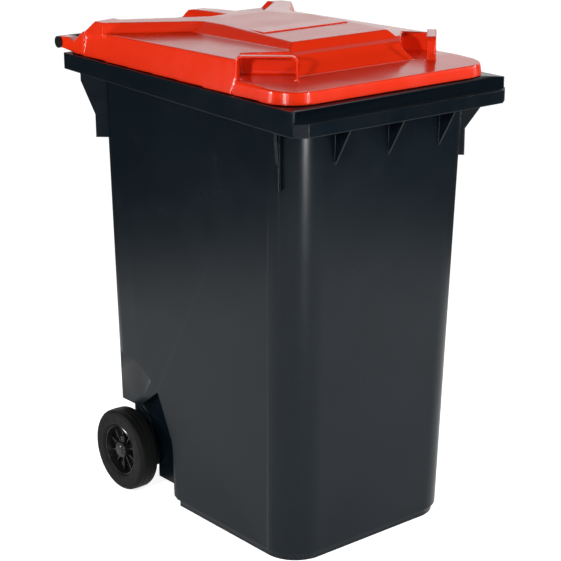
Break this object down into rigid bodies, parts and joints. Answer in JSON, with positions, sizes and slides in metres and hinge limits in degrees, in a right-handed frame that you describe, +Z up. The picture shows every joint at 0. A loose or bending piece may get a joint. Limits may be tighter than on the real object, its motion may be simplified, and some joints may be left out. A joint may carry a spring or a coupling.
{
  "type": "wheelie bin",
  "caption": "Wheeled refuse bin: tapered plastic tub with a comb rim, hinged lid with corner grips, and rubber-tyred wheels on a steel axle.",
  "frame": {"origin": "on the floor, below the middle of the overall box", "axes": "+Z up; -Y is the front with the comb rim; +Y the rear with the hinge and the wheels; X is the side-to-side direction"},
  "size_m": [0.6, 0.8852, 1.1355],
  "materials": {
    "body_plastic": "semi-matte moulded anthracite polyethylene",
    "lid_plastic": "glossy orange-red moulded polyethylene",
    "black_plastic": "glossy black moulded plastic",
    "tyre_rubber": "dark grey solid rubber",
    "buffer_rubber": "black rubber",
    "axle_steel": "bright zinc-plated steel",
    "nylon": "natural nylon"
  },
  "bodies": {
    "tub": {"body_shell": "body_plastic", "axle": "axle_steel", "hinge_pin_left": "black_plastic", "hinge_pin_right": "black_plastic", "thrust_washer_left": "axle_steel", "thrust_washer_right": "axle_steel"},
    "lid": {"lid_shell": "lid_plastic", "lid_buffers": "buffer_rubber"},
    "wheel_left": {"hub_left": "black_plastic", "tyre_left": "tyre_rubber", "bush_left": "nylon", "hub_cap_left": "black_plastic", "lock_spring_left": "axle_steel"},
    "lock_left": {"lock_pin_left": "axle_steel"},
    "wheel_right": {"hub_right": "black_plastic", "tyre_right": "tyre_rubber", "bush_right": "nylon", "hub_cap_right": "black_plastic", "lock_spring_right": "axle_steel"},
    "lock_right": {"lock_pin_right": "axle_steel"}
  },
  "joints": [
    {"name": "lid_hinge", "type": "hinge", "parent": "tub", "child": "lid", "pos_m": [0, 0.42865, 1.065], "axis": [-1, 0, 0], "range_deg": [0, 268]},
    {"name": "wheel_left_spin", "type": "hinge", "parent": "tub", "child": "wheel_left", "pos_m": [-0.265, 0.24695, 0.1], "axis": [1, 0, 0], "continuous": true},
    {"name": "lock_left_slide", "type": "slide", "parent": "wheel_left", "child": "lock_left", "axis": [0, 0, 1], "range_m": [0, 0.0025], "stiffness_N_per_m": 800, "springref_m": -0.004, "deforming": ["lock_spring_left"]},
    {"name": "wheel_right_spin", "type": "hinge", "parent": "tub", "child": "wheel_right", "pos_m": [0.265, 0.24695, 0.1], "axis": [1, 0, 0], "continuous": true},
    {"name": "lock_right_slide", "type": "slide", "parent": "wheel_right", "child": "lock_right", "axis": [0, 0, 1], "range_m": [0, 0.0025], "stiffness_N_per_m": 800, "springref_m": -0.004, "deforming": ["lock_spring_right"]}
  ]
}
